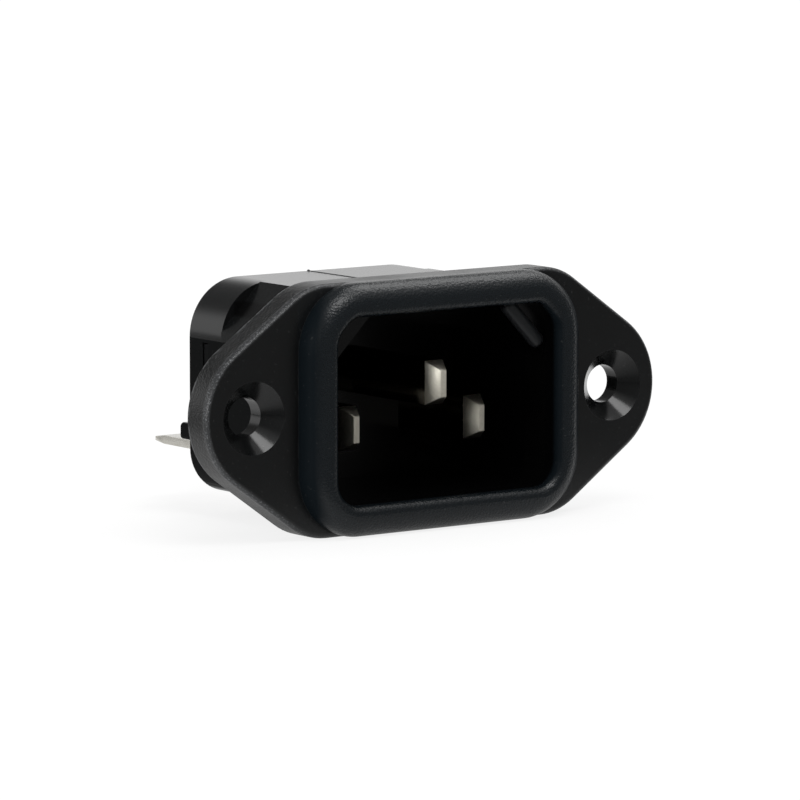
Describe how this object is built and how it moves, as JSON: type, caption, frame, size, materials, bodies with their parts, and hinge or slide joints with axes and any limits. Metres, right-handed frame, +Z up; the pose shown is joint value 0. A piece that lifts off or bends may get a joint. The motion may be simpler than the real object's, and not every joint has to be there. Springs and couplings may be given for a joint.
{
  "type": "c14 panel inlet socket",
  "caption": "Panel-mount power inlet: lozenge flange with countersunk screw ears, raised rim round a deep recess with contact blades, and quick-connect tabs behind a snap-in rear cover.",
  "frame": {"origin": "on the flange's back face, midway between the two screw holes", "axes": "+X along the flange through the screw holes, to the right as seen from the front; -Y out of the panel, towards the mating connector; +Z up, the side of the earth contact"},
  "size_m": [0.05, 0.031, 0.0228],
  "materials": {
    "moulding": "fine matte moulded surface with satin countersinks",
    "cover": "plain matte moulded surface",
    "plated_metal": "satin nickel plating over brass"
  },
  "bodies": {
    "root": {"housing": "moulding", "rear_cover": "cover", "line_blade": "plated_metal", "line_terminal": "plated_metal", "neutral_blade": "plated_metal", "neutral_terminal": "plated_metal", "earth_blade": "plated_metal", "earth_terminal": "plated_metal"}
  },
  "joints": []
}
